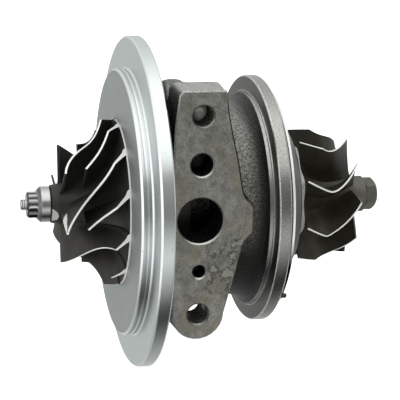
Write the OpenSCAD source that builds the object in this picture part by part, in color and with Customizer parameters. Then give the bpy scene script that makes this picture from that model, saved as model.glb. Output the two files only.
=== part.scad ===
// Turbocharger cartridge: bearing housing, floating shaft bearings, end plate, heat shield and both wheels.
// X runs along the shaft from the compressor to the turbine, the oil pad faces -Y, Z is up.
// The origin is on the shaft axis, in the face of the end plate that seats the compressor housing.

/* [End plate] */
// Outer diameter of the compressor end plate
plate_d = 113.2; // [106:0.2:124]
// Thickness of the plate's flange
plate_t = 5.6; // [4.5:0.1:8]
// Depth of the step behind the plate's outer ring
plate_step = 0.9; // [0.5:0.1:1.5]
// Diameter inside that step
plate_step_d = 100; // [96:0.5:104]
// Diameter of the spigot that centres the compressor housing
spigot_d = 91.2; // [88:0.1:96]
// Height of the spigot above the seat face
spigot_h = 3.9; // [3:0.1:6]
// Chamfer on the plate's edges
plate_chamfer = 0.5; // [0.2:0.1:1]
// Depth of the pocket behind the compressor wheel
wheel_pocket_h = 1.3; // [1:0.1:2]
// Length of the plate's boss inside the housing
plate_boss_l = 3.6; // [3:0.1:5]

/* [Compressor wheel] */
// Exducer diameter over the back disc
comp_exducer_d = 56.4; // [50:0.2:62]
// Inducer diameter over the blade tips
comp_inducer_d = 40; // [34:0.2:44]
// Diameter of the wheel's nose
comp_nose_d = 12.8; // [12.4:0.1:15]
// Length from the nose to the back disc's back face
comp_wheel_l = 23.3; // [20:0.1:28]
// Thickness of the back disc at its rim
comp_rim_t = 1; // [0.8:0.1:1.8]
// Width of the blades at the exducer tip
comp_tip_w = 4.2; // [3:0.1:6]
// Full blades, each followed by one splitter
comp_blades = 6; // [5:1:8]
// Blade thickness at the tips
comp_blade_t = 0.8; // [0.6:0.1:1.2]

/* [Turbine wheel] */
// Inducer diameter over the blade tips
turb_inducer_d = 46.8; // [43:0.2:52]
// Exducer diameter over the blade tips
turb_exducer_d = 41; // [34:0.2:42]
// Diameter of the round nose
turb_nose_d = 12.8; // [12:0.1:15]
// Width of the inlet edge of the blades
turb_inlet_w = 7.4; // [5:0.1:10]
// Length of the blades from the inlet edge to the exducer
turb_blade_l = 19.8; // [16:0.1:24]
// Blades round the wheel
turb_blades = 9; // [8:1:12]
// Blade thickness at the tips
turb_blade_t = 0.9; // [0.7:0.1:1.3]
// Width across the flats of the hexagon on the nose
turb_hex_af = 10; // [8:0.5:10]
// Length of the hexagon on the nose
turb_hex_l = 4.2; // [4:0.1:8]

/* [Bearing housing] */
// Length from the end plate to the turbine flange
housing_l = 36.3; // [36:0.1:42]
// Outer diameter of the turbine flange
flange_d = 85.6; // [84:0.2:90]
// Thickness of the turbine flange
flange_t = 4.4; // [4:0.1:6]
// Diameter of the pilot that centres the turbine housing
pilot_d = 79.2; // [79:0.1:81]
// Length of the pilot
pilot_l = 2; // [1.5:0.1:3]
// Width and depth of the relief groove between the flange and the pilot
relief = 0.8; // [0.5:0.1:1]
// Height of the raw land that stands inside the clamp's seat, on the front of the flange
land_h = 1.6; // [1:0.1:2.2]
// Diameter of the cast neck where it starts to flare into that land
neck_d = 68; // [66:0.2:70]
// Diameter of the neck between the ears
neck_root_d = 64; // [62:0.2:65]
// Length of the nose that reaches into the heat shield
nose_l = 7.8; // [6:0.1:8]
// Outer diameter of that nose
nose_d = 30; // [26:0.5:36]
// Outer diameter of the oil chamber round the bearings
chamber_d = 50; // [46:0.5:52]
// Distance from the shaft axis to the bolts of the end plate
ear_r = 39.5; // [39:0.1:42]
// Radius of the ears round those bolts
ear_round_r = 7.2; // [6:0.1:8]
// Thickness of the ears along the shaft
ear_t = 10; // [8:0.1:11]

/* [Oil pad] */
// Distance from the shaft axis to the face of the oil pad
pad_y = 38; // [37:0.5:42]
// Thickness of the pad
pad_t = 13; // [11:0.5:15]
// Thickness of the lower lug
lug_t = 13.6; // [12:0.1:18]
// Radius of the lower lug
lug_r = 8.7; // [7:0.1:9]
// Distance from the end plate to the line of holes in the pad
pad_hole_x = 11.2; // [10.5:0.1:13]
// Height of the upper bolt hole above the shaft axis
bolt_top_z = 37.1; // [36:0.1:40]
// Distance between the two bolt holes
bolt_pitch = 65.8; // [64:0.1:70]
// Tapping diameter of the bolt holes
bolt_hole_d = 6.8; // [6:0.1:8]
// Depth of the upper bolt hole
bolt_hole_h = 10; // [8:0.1:11]
// Height of the oil inlet above the shaft axis
inlet_z = 21.3; // [20:0.1:23]
// Diameter of the oil inlet
inlet_d = 7.4; // [6:0.1:8]
// Depth of the oil inlet
inlet_h = 12; // [10:0.5:13]
// Diameter of the drillings from the inlet to the bearings
feed_d = 2.4; // [2:0.1:3]
// Height of the oil drain above the shaft axis
drain_z = 2.9; // [0:0.1:4]
// Diameter of the oil drain
drain_d = 15; // [12:0.1:16]
// Depth of the oil drain, which opens into the oil chamber at its end
drain_h = 16; // [15:0.5:17]
// Width of the slot that takes oil from the thrust bearing to the chamber
return_w = 8; // [6:0.5:10]
// Distance of the dowel hole below the drain
dowel_drop = 17.1; // [15:0.1:19]
// Diameter of the dowel hole
dowel_d = 4.2; // [3:0.1:5]
// Depth of the dowel hole
dowel_h = 8; // [6:0.5:9]

/* [Shaft and bearings] */
// Diameter of the shaft in its bearings
shaft_d = 8; // [7:0.1:9]
// Diameter of the shaft through the compressor wheel
stud_d = 5; // [4.5:0.1:6]
// Diameter of the shaft where it leaves the nut
tip_d = 3.9; // [3:0.1:4.4]
// Length of the shaft past the nut
tip_l = 2; // [1:0.1:4]
// Outer diameter of the floating bearings
bearing_d = 14; // [13:0.1:15]
// Length of each floating bearing
bearing_l = 7; // [6:0.1:8]
// Distance from the turbine flange's face back to the turbine bearing's middle
turb_bearing_back = 2.4; // [2:0.1:4]
// Thickness of the retaining rings beside the bearings
circlip_t = 0.9; // [0.7:0.1:1.1]
// How deep those rings reach into the housing
circlip_grip = 0.8; // [0.5:0.1:1]
// Diameter of the shaft's seal boss at the turbine
seal_boss_d = 16.8; // [16:0.1:18]
// Diameter of the oil flinger in the end plate's bore
flinger_d = 15.2; // [14:0.1:16]
// Width of the piston ring seals
seal_ring_w = 1.2; // [1:0.1:1.4]
// Radial depth of the piston ring seals
seal_ring_h = 1.4; // [1.2:0.1:1.6]

/* [Thrust bearing] */
// Outer diameter of the thrust bearing and of the plate's boss
thrust_d = 40; // [36:0.5:44]
// Thickness of the thrust bearing
thrust_t = 3.2; // [2.6:0.1:4]
// Diameter of the running faces on the shaft
thrust_face_d = 18; // [17:0.2:20]
// Thickness of the collar's flange and of the washer
thrust_face_t = 1.5; // [1.2:0.1:2]
// Diameter of the collar's hub inside the thrust bearing
collar_hub_d = 11; // [10:0.1:12]
// Thickness of the oil deflector
deflector_t = 0.8; // [0.6:0.1:1]

/* [Nut] */
// Length of the nut's wrench part
nut_l = 3.7; // [3:0.1:5]
// Diameter over the points of the wrench part
nut_d = 9.3; // [8.6:0.1:10]
// Diameter of the nut's collar
nut_collar_d = 12.2; // [11:0.1:12.4]
// Length of the collar
nut_collar_l = 4.3; // [3:0.1:5]

/* [Heat shield and small parts] */
// Outer diameter of the heat shield
shield_d = 72; // [70:0.1:78]
// Sheet thickness of the heat shield
shield_t = 1; // [0.8:0.1:1.2]
// Diameter of the shield's dish
shield_dish_d = 51; // [48:0.5:56]
// Diameter of the bolts behind the end plate
plate_bolt_d = 6; // [5:0.5:6]
// Diameter of the pin behind the turbine flange
pin_d = 1.6; // [1.4:0.1:1.7]
// Diameter of the pin's stem in the flange
pin_stem_d = 1.2; // [1:0.1:1.3]
// How far that pin stands out of the flange
pin_out = 2.4; // [1.5:0.1:3]
// Section diameter of the end plate's sealing ring
o_ring_d = 1.8; // [1.4:0.1:2]

/* [Fits] */
// Radial running clearance of shaft and bearings
run_clear = 0.04; // [0.02:0.01:0.06]
// Axial play at the thrust faces
thrust_play = 0.1; // [0.05:0.01:0.15]
// Axial gap between the turbine wheel and the heat shield
turb_gap = 0.8; // [0.5:0.1:1.2]
// Axial gap between the heat shield and the housing's nose
shield_gap = 0.3; // [0.2:0.05:0.5]
// Gap between parts that turn and parts that stand still
free_gap = 0.4; // [0.3:0.05:0.5]
// Radial clearance of parts that seat on or in each other
seat_gap = 0.02; // [0.01:0.01:0.04]

/* [Hidden] */
$fn = 96;
eps = 0.01;

// Stations along the shaft, from the compressor to the turbine
pocket_x = wheel_pocket_h - spigot_h;
wheel_back_x = pocket_x - wheel_pocket_h / 2;
wheel_nose_x = wheel_back_x - comp_wheel_l;
collar_x = wheel_nose_x - nut_collar_l;
nut_x = collar_x - nut_l;
tip_x = nut_x - tip_l;
wheel_boss_out = 0.5;
wheel_boss_x = wheel_back_x + wheel_pocket_h + wheel_boss_out;
plate_x = plate_t;
rim_x = plate_x - plate_step;
boss_bore_x = plate_x - 1;
deflector_x = plate_x + plate_boss_l;
thrust_x = deflector_x + deflector_t;
thrust_end_x = thrust_x + thrust_t;
collar_flange_x = thrust_x - thrust_play - thrust_face_t;
flinger_disc_x = collar_flange_x - thrust_face_t;
washer_x = thrust_end_x + thrust_play;
shoulder_x = washer_x + thrust_face_t;
flange_x = plate_x + housing_l;
flange_end_x = flange_x + flange_t;
pilot_x = flange_end_x + pilot_l;
nose_x = flange_end_x + nose_l;
shield_face_x = nose_x + shield_gap;
turb_back_x = shield_face_x + shield_t + turb_gap;
weld_x = turb_back_x - turb_gap - shield_t / 2;
seal_boss_x = flange_end_x - 1;
ring_gap = 0.1;
turb_bearing_x = flange_x - turb_bearing_back - bearing_l / 2;
bearing_back = 1.6;
comp_bearing_x = shoulder_x + bearing_back + circlip_t;
comp_bearing_end_x = comp_bearing_x + bearing_l;
comp_ring_x = (wheel_boss_x + flinger_disc_x - seal_ring_w) / 2;
turb_ring_x = nose_x - seal_ring_w - 2;
turb_inlet_back = 2;
turb_nose_l = 6.8;
turb_inlet_x = turb_back_x + turb_inlet_back;
turb_kink_x = turb_inlet_x + turb_inlet_w;
turb_exit_x = turb_inlet_x + turb_blade_l;
turb_nose_x = turb_exit_x + turb_nose_l;
turb_hex_x = turb_nose_x + (turb_nose_d - turb_hex_af) * 0.28;
turb_end_x = turb_hex_x + turb_hex_l;

// Radii that several parts share
bore_r = bearing_d / 2 + run_clear;
stud_bore_r = stud_d / 2 + seat_gap;
seal_bore_r = seal_boss_d / 2 + free_gap;
plate_bore_r = flinger_d / 2 + free_gap;
oil_space_r = thrust_face_d / 2 + 2.4;
flinger_disc_r = thrust_face_d / 2 + 1;
pocket_r = comp_exducer_d / 2 + free_gap;
o_ring_r = thrust_d / 2 + 3;
o_groove_h = o_ring_d * 0.8;
shield_hole_r = seal_boss_d / 2 + 2;
clamp_seat_w = 5.4;
land_r = flange_d / 2 - clamp_seat_w;
land_draft = 0.2;
flare_r = land_r - neck_d / 2;
flare_x = flange_x - land_h - flare_r;
flare_steps = 6;
chamber_tube_r = bearing_d / 2 + 4.5;

// Oil pad: places of its holes and of the outline's corners
pad_x = plate_x + pad_hole_x;
bolt_low_z = bolt_top_z - bolt_pitch;
dowel_z = drain_z - dowel_drop;
pad_left_x = plate_x + 1.5;
pad_over_bolt = 8.2;
pad_top_z = bolt_top_z + pad_over_bolt;
nub_reach = 10.1;
nub_x = pad_x + drain_d / 2 + nub_reach;
pad_right = [7.4, 8.6, 10.4, 12.4, 13.8, 14.8];
nub_z = [9.9, 7.4, 4.8, 3.8, -4.8, -5.9, -8.2];

// Ears of the bolts behind the end plate and the pin, as angles from -Y towards +Z
ear_angles = [72, 162, 252];
pin_angle = -39;
pin_pilot_gap = 0.65;
pin_r = pilot_d / 2 + pin_d / 2 + pin_pilot_gap;
pin_x = flange_x + 1;
bolt_end_x = 1.6 - spigot_h;
bolt_head_x = plate_x + ear_t;
bolt_head_h = plate_bolt_d * 0.7;
head_clear = 1.4;
ear_web = 1.8 * ear_round_r;
ear_step = 1;

// Blade shapes: angles in degrees, from -Y towards +Z
comp_start = -15.7;
comp_wrap = 56.7;
comp_rake = 10;
comp_root_lag = 1.33;
comp_splitter_start = 0.46;
scoop_angle = -21;
scoop_out = 3;
scoop_r = 4.4;
turb_start = -24;
turb_lean = 9.6;
turb_turn = 30;
turb_twist = 10;
turb_hex_turn = -10;

module along_x(x = 0) translate([x, 0, 0]) rotate([0, 90, 0]) children();

// Turns a profile of [x, r] points round the shaft axis
module turned(points) rotate([0, 90, 0]) mirror([1, 0, 0]) rotate_extrude()
    polygon([for (p = points) [p[1], p[0]]]);

module disc(x, l, r) along_x(x) cylinder(h = l, r = r);

module ring(x, l, outer_r, inner_r) difference() {
    disc(x, l, outer_r);
    disc(x - 1, l + 2, inner_r);
}

// Places children at a radius and an angle from -Y towards +Z
module at_angle(a, r) translate([0, -r * cos(a), r * sin(a)]) children();

// Drilling from one point to another
module drilling(from, to, d) {
    v = to - from;
    translate(from) rotate([0, acos(v[2] / norm(v)), atan2(v[1], v[0])]) cylinder(h = norm(v), d = d);
}

// Housing

module pad_hole(z, d, h) translate([pad_x, -pad_y - eps, z]) rotate([-90, 0, 0]) cylinder(h = h + eps, d = d);

// Outline of the oil pad in X and Z, without the round lug
module pad_outline() polygon([
    [pad_x - lug_r, bolt_low_z], [pad_left_x, drain_z], [pad_left_x + 0.6, bolt_top_z - 3],
    [pad_left_x + 1.8, pad_top_z - 1.4], [pad_left_x + 3, pad_top_z],
    [pad_x + pad_right[0], pad_top_z], [pad_x + pad_right[1], bolt_top_z],
    [pad_x + pad_right[2], bolt_top_z - 8], [pad_x + pad_right[3], inlet_z],
    [pad_x + pad_right[4], drain_z + nub_z[0]], [pad_x + pad_right[5], drain_z + nub_z[1]],
    [nub_x - 0.5, drain_z + nub_z[2]], [nub_x, drain_z + nub_z[3]],
    [nub_x, drain_z + nub_z[4]], [nub_x - 1.6, drain_z + nub_z[5]],
    [pad_x + pad_right[5] - 0.4, drain_z + nub_z[6]], [pad_x + pad_right[3], dowel_z],
    [pad_x + lug_r, bolt_low_z]]);

module pad_block() translate([0, -pad_y, 0]) rotate([90, 0, 0]) mirror([0, 0, 1]) {
    linear_extrude(pad_t) pad_outline();
    translate([pad_x, bolt_low_z]) cylinder(h = lug_t, r = lug_r);
}

// Outside of the casting: neck that flares into the turbine flange, pilot, and nose
module housing_core() turned(concat(
    [[plate_x, 0], [plate_x, neck_root_d / 2 + 2], [plate_x + 5, neck_root_d / 2 + 2],
     [plate_x + 7, neck_root_d / 2], [bolt_head_x + bolt_head_h + head_clear, neck_root_d / 2]],
    [for (i = [0 : flare_steps]) let (a = 90 * i / flare_steps)
        [flare_x + flare_r * sin(a), land_r - flare_r * cos(a)]],
    [[flange_x, land_r + land_draft],
     [flange_x, flange_d / 2 - 0.4], [flange_x + 0.4, flange_d / 2],
     [flange_end_x - 0.5, flange_d / 2], [flange_end_x, flange_d / 2 - 0.5],
     [flange_end_x, pilot_d / 2 - relief], [flange_end_x + relief, pilot_d / 2 - relief],
     [flange_end_x + relief, pilot_d / 2], [pilot_x, pilot_d / 2],
     [pilot_x, shield_dish_d / 2 + 4], [flange_end_x, shield_dish_d / 2 + 2],
     [flange_end_x, nose_d / 2 + 1], [nose_x, nose_d / 2], [nose_x, 0]]));

module ear(a) {
    at_angle(a, ear_r) disc(plate_x, ear_t, ear_round_r);
    translate([plate_x, 0, 0]) rotate([-a, 0, 0]) translate([0, -ear_r, -ear_web / 2])
        cube([ear_t - ear_step, ear_r, ear_web]);
}

// Cored oil chamber round the bearing tube, on the side of the drain
module oil_chamber() {
    l = turb_bearing_x + bearing_l / 2 - comp_bearing_x;
    difference() {
        intersection() {
            disc(comp_bearing_x, l, chamber_d / 2);
            translate([0, -chamber_d, inlet_z - inlet_d - chamber_d])
                cube([flange_x, 2 * chamber_d, chamber_d]);
        }
        disc(comp_bearing_x - 1, l + 2, chamber_tube_r);
    }
    disc(comp_bearing_end_x + 2.5, turb_bearing_x - comp_bearing_end_x - 5, chamber_tube_r + 0.1);
}

// Thrust recess, bearing bores with their ring grooves, and seal bore
module shaft_bores() {
    disc(plate_x - 1, thrust_end_x - plate_x + 1, thrust_d / 2);
    disc(thrust_end_x - eps, shoulder_x + 1 - thrust_end_x, oil_space_r);
    disc(thrust_end_x, seal_boss_x - thrust_end_x, bore_r);
    disc(seal_boss_x - 1, nose_x - seal_boss_x + 2, seal_bore_r);
    for (x = circlip_stations()) disc(x - ring_gap / 2, circlip_t + ring_gap, bore_r + circlip_grip);
}

function circlip_stations() = [
    comp_bearing_x - circlip_t - ring_gap, comp_bearing_end_x + ring_gap,
    turb_bearing_x - circlip_t - ring_gap, turb_bearing_x + bearing_l + ring_gap];

// Slot from the space behind the thrust bearing to the oil chamber, below the bearing tube
module oil_return() {
    start_x = thrust_end_x + 1;
    end_x = comp_bearing_x + 1;
    translate([start_x, -return_w / 2, -oil_space_r - 6.5]) cube([end_x - start_x, return_w, 8.2]);
}

module oil_feeds() {
    start = [pad_x, inlet_h - 1 - pad_y, inlet_z];
    for (x = [comp_bearing_x, turb_bearing_x])
        drilling(start, [x + bearing_l / 2, -bore_r * 0.5, bore_r * 0.5], feed_d);
}

module bearing_housing() color("dimgray") difference() {
    union() {
        housing_core();
        pad_block();
        for (a = ear_angles) ear(a);
    }
    shaft_bores();
    oil_chamber();
    oil_return();
    oil_feeds();
    pad_hole(bolt_top_z, bolt_hole_d, bolt_hole_h);
    pad_hole(bolt_low_z, bolt_hole_d, lug_t + 1);
    pad_hole(inlet_z, inlet_d, inlet_h);
    pad_hole(drain_z, drain_d, drain_h);
    pad_hole(dowel_z, dowel_d, dowel_h);
    for (a = ear_angles) at_angle(a, ear_r) {
        disc(plate_x - 1, ear_t + 2, plate_bolt_d / 2 + 0.3);
        disc(bolt_head_x, bolt_head_h + head_clear, plate_bolt_d + free_gap);
    }
    at_angle(pin_angle, pin_r) disc(pin_x, flange_t, pin_stem_d / 2 + seat_gap);
    ring(plate_x - eps, o_groove_h + eps, o_ring_r + o_ring_d / 2 + 0.1, o_ring_r - o_ring_d / 2 - 0.1);
}

// End plate

module compressor_end_plate() color("silver") difference() {
    turned([
        [pocket_x, plate_bore_r], [pocket_x, pocket_r], [-spigot_h, pocket_r],
        [-spigot_h, spigot_d / 2 - plate_chamfer], [plate_chamfer - spigot_h, spigot_d / 2],
        [-spigot_h * 0.52, spigot_d / 2], [-spigot_h * 0.46, spigot_d / 2 - 0.35],
        [-spigot_h * 0.4, spigot_d / 2], [0, spigot_d / 2],
        [0, plate_d / 2 - plate_chamfer], [plate_chamfer, plate_d / 2],
        [rim_x - plate_chamfer, plate_d / 2], [rim_x, plate_d / 2 - plate_chamfer],
        [rim_x, plate_step_d / 2], [plate_x, plate_step_d / 2], [plate_x, thrust_d / 2 - seat_gap],
        [deflector_x, thrust_d / 2 - seat_gap], [deflector_x, oil_space_r], [boss_bore_x, oil_space_r],
        [boss_bore_x, plate_bore_r]]);
    for (a = ear_angles) at_angle(a, ear_r)
        disc(bolt_end_x, plate_x - bolt_end_x + 1, plate_bolt_d / 2 + seat_gap);
}

module plate_bolts() color("slategray") for (a = ear_angles) at_angle(a, ear_r) {
    disc(bolt_end_x + 0.8, bolt_head_x - bolt_end_x, plate_bolt_d / 2);
    disc(bolt_head_x, 1, plate_bolt_d);
    along_x(bolt_head_x) cylinder(h = bolt_head_h, d = plate_bolt_d * 1.8, $fn = 6);
}

// Square-sided section that the ring takes when the plate presses it into its groove
module plate_o_ring() color("black")
    ring(plate_x, o_groove_h, o_ring_r + o_ring_d / 2, o_ring_r - o_ring_d / 2);

// Thrust bearing parts

module thrust_bearing() color("peru") difference() {
    ring(thrust_x, thrust_t, thrust_d / 2 - seat_gap, collar_hub_d / 2 + free_gap);
    for (a = [90, 210, 330]) at_angle(a, thrust_face_d / 2 - 1.6) disc(thrust_x - 1, thrust_t + 2, 0.7);
}

module oil_deflector() color("lightsteelblue")
    ring(deflector_x, deflector_t, thrust_d / 2 - seat_gap, oil_space_r);

module oil_flinger() color("lightgray") difference() {
    union() {
        disc(wheel_boss_x, flinger_disc_x - wheel_boss_x + eps, flinger_d / 2);
        disc(flinger_disc_x, collar_flange_x - flinger_disc_x, flinger_disc_r);
    }
    disc(wheel_boss_x - 1, collar_flange_x - wheel_boss_x + 2, stud_bore_r);
    seal_groove(comp_ring_x, flinger_d / 2);
}

module thrust_collar() color("lightgray") difference() {
    union() {
        disc(collar_flange_x, thrust_face_t, thrust_face_d / 2);
        disc(collar_flange_x, washer_x - collar_flange_x, collar_hub_d / 2);
    }
    disc(collar_flange_x - 1, washer_x - collar_flange_x + 2, stud_bore_r);
}

module thrust_washer() color("lightgray") ring(washer_x, thrust_face_t, thrust_face_d / 2, stud_bore_r);

// Piston ring seals: each stands still in its bore, inside a groove of the turning part

module seal_groove(x, boss_r) ring(x - ring_gap, seal_ring_w + 2 * ring_gap, boss_r + 1,
    boss_r - seal_ring_h);

module seal_ring(x, seal_r) difference() {
    ring(x, seal_ring_w, seal_r - seat_gap, seal_r - seal_ring_h);
    translate([x - 1, -0.2, 0]) cube([seal_ring_w + 2, 0.4, seal_r + 1]);
}

module compressor_seal_ring() color("darkgray") seal_ring(comp_ring_x, plate_bore_r);

module turbine_seal_ring() color("darkgray") seal_ring(turb_ring_x, seal_bore_r);

// Floating bearings

module journal_bearing(x) difference() {
    ring(x, bearing_l, bearing_d / 2, shaft_d / 2 + run_clear);
    ring(x + bearing_l / 2 - 0.9, 1.8, bearing_d / 2 + 1, bearing_d / 2 - 0.5);
    for (a = [0 : 90 : 270]) rotate([a, 0, 0]) translate([x + bearing_l / 2, 0, 0])
        cylinder(h = bearing_d, r = 0.7);
}

module compressor_journal_bearing() color("goldenrod") journal_bearing(comp_bearing_x);

module turbine_journal_bearing() color("goldenrod") journal_bearing(turb_bearing_x);

module bearing_circlips() color("gray") for (x = circlip_stations()) difference() {
    ring(x, circlip_t, bore_r + circlip_grip - seat_gap, shaft_d / 2 + 1);
    translate([x - 1, -0.8, 0]) cube([circlip_t + 2, 1.6, bearing_d]);
}

// Turbine end

module heat_shield() color("lightgray") turned([
    [pilot_x, shield_dish_d / 2 + 4], [pilot_x, shield_d / 2 - 0.3], [pilot_x + 0.3, shield_d / 2],
    [pilot_x + shield_t, shield_d / 2], [pilot_x + shield_t, shield_dish_d / 2 + 4.6],
    [pilot_x + shield_t + 1, shield_dish_d / 2 + 2.4], [shield_face_x + shield_t - 1, shield_dish_d / 2],
    [shield_face_x + shield_t, shield_dish_d / 2 - 1], [shield_face_x + shield_t, shield_hole_r],
    [shield_face_x, shield_hole_r], [shield_face_x, shield_dish_d / 2 - 1.6],
    [shield_face_x - 0.6, shield_dish_d / 2 - shield_t], [pilot_x + 1, shield_dish_d / 2 + 1.4]]);

// Its shoulder seats on the back of the flange
module flange_pin() color("dimgray") at_angle(pin_angle, pin_r) {
    disc(pin_x, flange_end_x - pin_x + eps, pin_stem_d / 2);
    disc(flange_end_x, pin_out, pin_d / 2);
}

module rotor_shaft() color("lightsteelblue") difference() {
    union() {
        disc(tip_x, nut_x - tip_x + eps, tip_d / 2);
        disc(nut_x, shoulder_x - nut_x + eps, stud_d / 2);
        disc(shoulder_x, seal_boss_x - shoulder_x + eps, shaft_d / 2);
        disc(seal_boss_x, weld_x - seal_boss_x, seal_boss_d / 2);
    }
    seal_groove(turb_ring_x, seal_boss_d / 2);
}

// One blade as a closed shell. Each station holds the hub and tip points [x, r, angle] and half widths.
function shell_point(p, side) = let (a = p[2] + side * p[3] / p[1] * 180 / PI)
    [p[0], -p[1] * cos(a), p[1] * sin(a)];

function mixed(a, b, t) = a + (b - a) * t;

module blade_shell(stations, rows) {
    n = len(stations);
    m = rows + 1;
    points = [for (side = [-1, 1], s = stations, j = [0 : rows])
        shell_point(mixed(s[0], s[1], j / rows), side)];
    function at(side, i, j) = side * n * m + i * m + j;
    sides = [for (i = [0 : n - 2], j = [0 : rows - 1]) each [
        [at(0, i, j), at(0, i, j + 1), at(0, i + 1, j)],
        [at(0, i, j + 1), at(0, i + 1, j + 1), at(0, i + 1, j)],
        [at(1, i, j), at(1, i + 1, j), at(1, i, j + 1)],
        [at(1, i, j + 1), at(1, i + 1, j), at(1, i + 1, j + 1)]]];
    long_edges = [for (i = [0 : n - 2]) each [
        [at(0, i, 0), at(0, i + 1, 0), at(1, i, 0)], [at(1, i, 0), at(0, i + 1, 0), at(1, i + 1, 0)],
        [at(0, i, rows), at(1, i, rows), at(0, i + 1, rows)],
        [at(1, i, rows), at(1, i + 1, rows), at(0, i + 1, rows)]]];
    end_edges = [for (j = [0 : rows - 1]) each [
        [at(0, 0, j), at(1, 0, j), at(0, 0, j + 1)], [at(1, 0, j), at(1, 0, j + 1), at(0, 0, j + 1)],
        [at(0, n - 1, j), at(0, n - 1, j + 1), at(1, n - 1, j)],
        [at(1, n - 1, j), at(0, n - 1, j + 1), at(1, n - 1, j + 1)]]];
    polyhedron(points, concat(sides, long_edges, end_edges), convexity = 4);
}

// Turbine wheel

turb_disc_inset = 3.9;
turb_disc_r = turb_inducer_d / 2 - turb_disc_inset;
turb_hub_x0 = turb_back_x + 1.6;
turb_hub_x1 = turb_exit_x + 2;

// Hub radius falls along a quarter ellipse from the back disc to the nose
function turb_hub_r(x) = let (s = min(1, max(0, (turb_hub_x1 - x) / (turb_hub_x1 - turb_hub_x0))))
    turb_nose_d / 2 + (turb_disc_r - turb_nose_d / 2) * (1 - sqrt(1 - s * s));

// Tip radius is even along the inlet edge and then falls towards the exducer
function turb_tip_r(x) = let (s = max(0, (x - turb_kink_x) / (turb_exit_x - turb_kink_x)))
    turb_exducer_d / 2 + (turb_inducer_d - turb_exducer_d) / 2 * pow(1 - s, 3);

function turb_angle(x) = x < turb_kink_x
    ? turb_lean * (turb_kink_x - x) / turb_inlet_w
    : turb_turn * pow((x - turb_kink_x) / (turb_exit_x - turb_kink_x), 2);

function turb_station(u) = let (
        x = turb_inlet_x + u * turb_blade_l, s = max(0, (x - turb_kink_x) / (turb_exit_x - turb_kink_x)),
        hub_x = x + 1.6 * s * s)
    [[hub_x, turb_hub_r(hub_x) - 0.5, turb_start + turb_angle(x) + turb_twist * s * s, turb_blade_t],
     [x, turb_tip_r(x), turb_start + turb_angle(x), turb_blade_t / 2]];

module turbine_wheel() color("dimgray") {
    hub_steps = 10;
    turned(concat(
        [[weld_x, 0], [weld_x, seal_boss_d / 2],
         [turb_back_x, seal_boss_d / 2 + 0.8], [turb_back_x, turb_disc_r]],
        [for (i = [0 : hub_steps]) let (x = mixed(turb_hub_x0, turb_hub_x1, pow(i / hub_steps, 2)))
            [x, turb_hub_r(x)]],
        [[turb_nose_x, turb_nose_d / 2], [turb_hex_x, turb_hex_af / 2 + 0.2], [turb_hex_x, 0]]));
    intersection() {
        rotate([turb_hex_turn, 0, 0]) along_x(turb_hex_x - eps)
            cylinder(h = turb_hex_l + eps, d = turb_hex_af / cos(30), $fn = 6);
        turned([[turb_hex_x - 1, 0], [turb_hex_x - 1, turb_hex_af], [turb_end_x - 2.2, turb_hex_af / 2 + 0.8],
            [turb_end_x, turb_hex_af / 2 - 1], [turb_end_x, 0]]);
    }
    for (k = [0 : turb_blades - 1]) rotate([-k * 360 / turb_blades, 0, 0])
        blade_shell([for (i = [0 : 10]) turb_station(i / 10)], 3);
}

// Compressor wheel

comp_rim_x = wheel_back_x - comp_rim_t;
comp_hub_x0 = wheel_nose_x + 1.9;
comp_lead_x = wheel_nose_x + 3.3;
comp_exit_x = comp_rim_x - comp_tip_w;
comp_hub_r0 = comp_nose_d / 2 + 0.5;

// Hub radius grows along a quarter ellipse from the nose to the rim of the back disc
function comp_hub_r(x) = let (s = min(1, max(0, (x - comp_hub_x0) / (comp_rim_x - comp_hub_x0))))
    comp_exducer_d / 2 - (comp_exducer_d / 2 - comp_hub_r0) * sqrt(1 - s * s);

function comp_tip_r(u) = mixed(comp_inducer_d, comp_exducer_d, pow(u, 5)) / 2;

// Angle the blade has turned through, and the factor that keeps its thickness where it lies aslant
function comp_angle(u) = comp_wrap * pow(u, 0.65);
function comp_slant(u) = 1 + 0.9 * pow(1 - u, 2);

function comp_station(u) = let (
        hub_x = mixed(comp_lead_x, comp_rim_x + 0.2, pow(u, comp_root_lag)),
        x = mixed(comp_lead_x, comp_exit_x, u),
        a = comp_start + comp_angle(u), w = comp_blade_t / 2 * comp_slant(u))
    [[hub_x, min(comp_hub_r(hub_x) - 0.5, comp_exducer_d / 2 - 0.4), a + comp_rake * u * u, 2 * w],
     [x, comp_tip_r(u), a, w]];

module compressor_blade(from) {
    steps = 10;
    blade_shell([for (i = [0 : steps]) comp_station(mixed(from, 1, pow(i / steps, 1.4)))], 3);
}

module compressor_wheel() color("dimgray") difference() {
    hub_steps = 12;
    union() {
        turned(concat(
            [[wheel_nose_x, 0], [wheel_nose_x, comp_nose_d / 2], [comp_hub_x0, comp_hub_r0]],
            [for (i = [1 : hub_steps]) let (x = mixed(comp_hub_x0, comp_rim_x, 1 - pow(1 - i / hub_steps, 2)))
                [x, comp_hub_r(x)]],
            [[wheel_back_x, comp_exducer_d / 2], [wheel_back_x, flinger_d / 2], [wheel_boss_x, flinger_d / 2],
             [wheel_boss_x, 0]]));
        for (k = [0 : comp_blades - 1]) rotate([-k * 360 / comp_blades, 0, 0]) {
            compressor_blade(0);
            rotate([-180 / comp_blades, 0, 0]) compressor_blade(comp_splitter_start);
        }
    }
    disc(wheel_nose_x - 1, comp_wheel_l + 5, stud_bore_r);
    at_angle(scoop_angle, comp_nose_d / 2 + scoop_out) translate([wheel_nose_x - 0.4, 0, 0])
        sphere(r = scoop_r);
}

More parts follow.
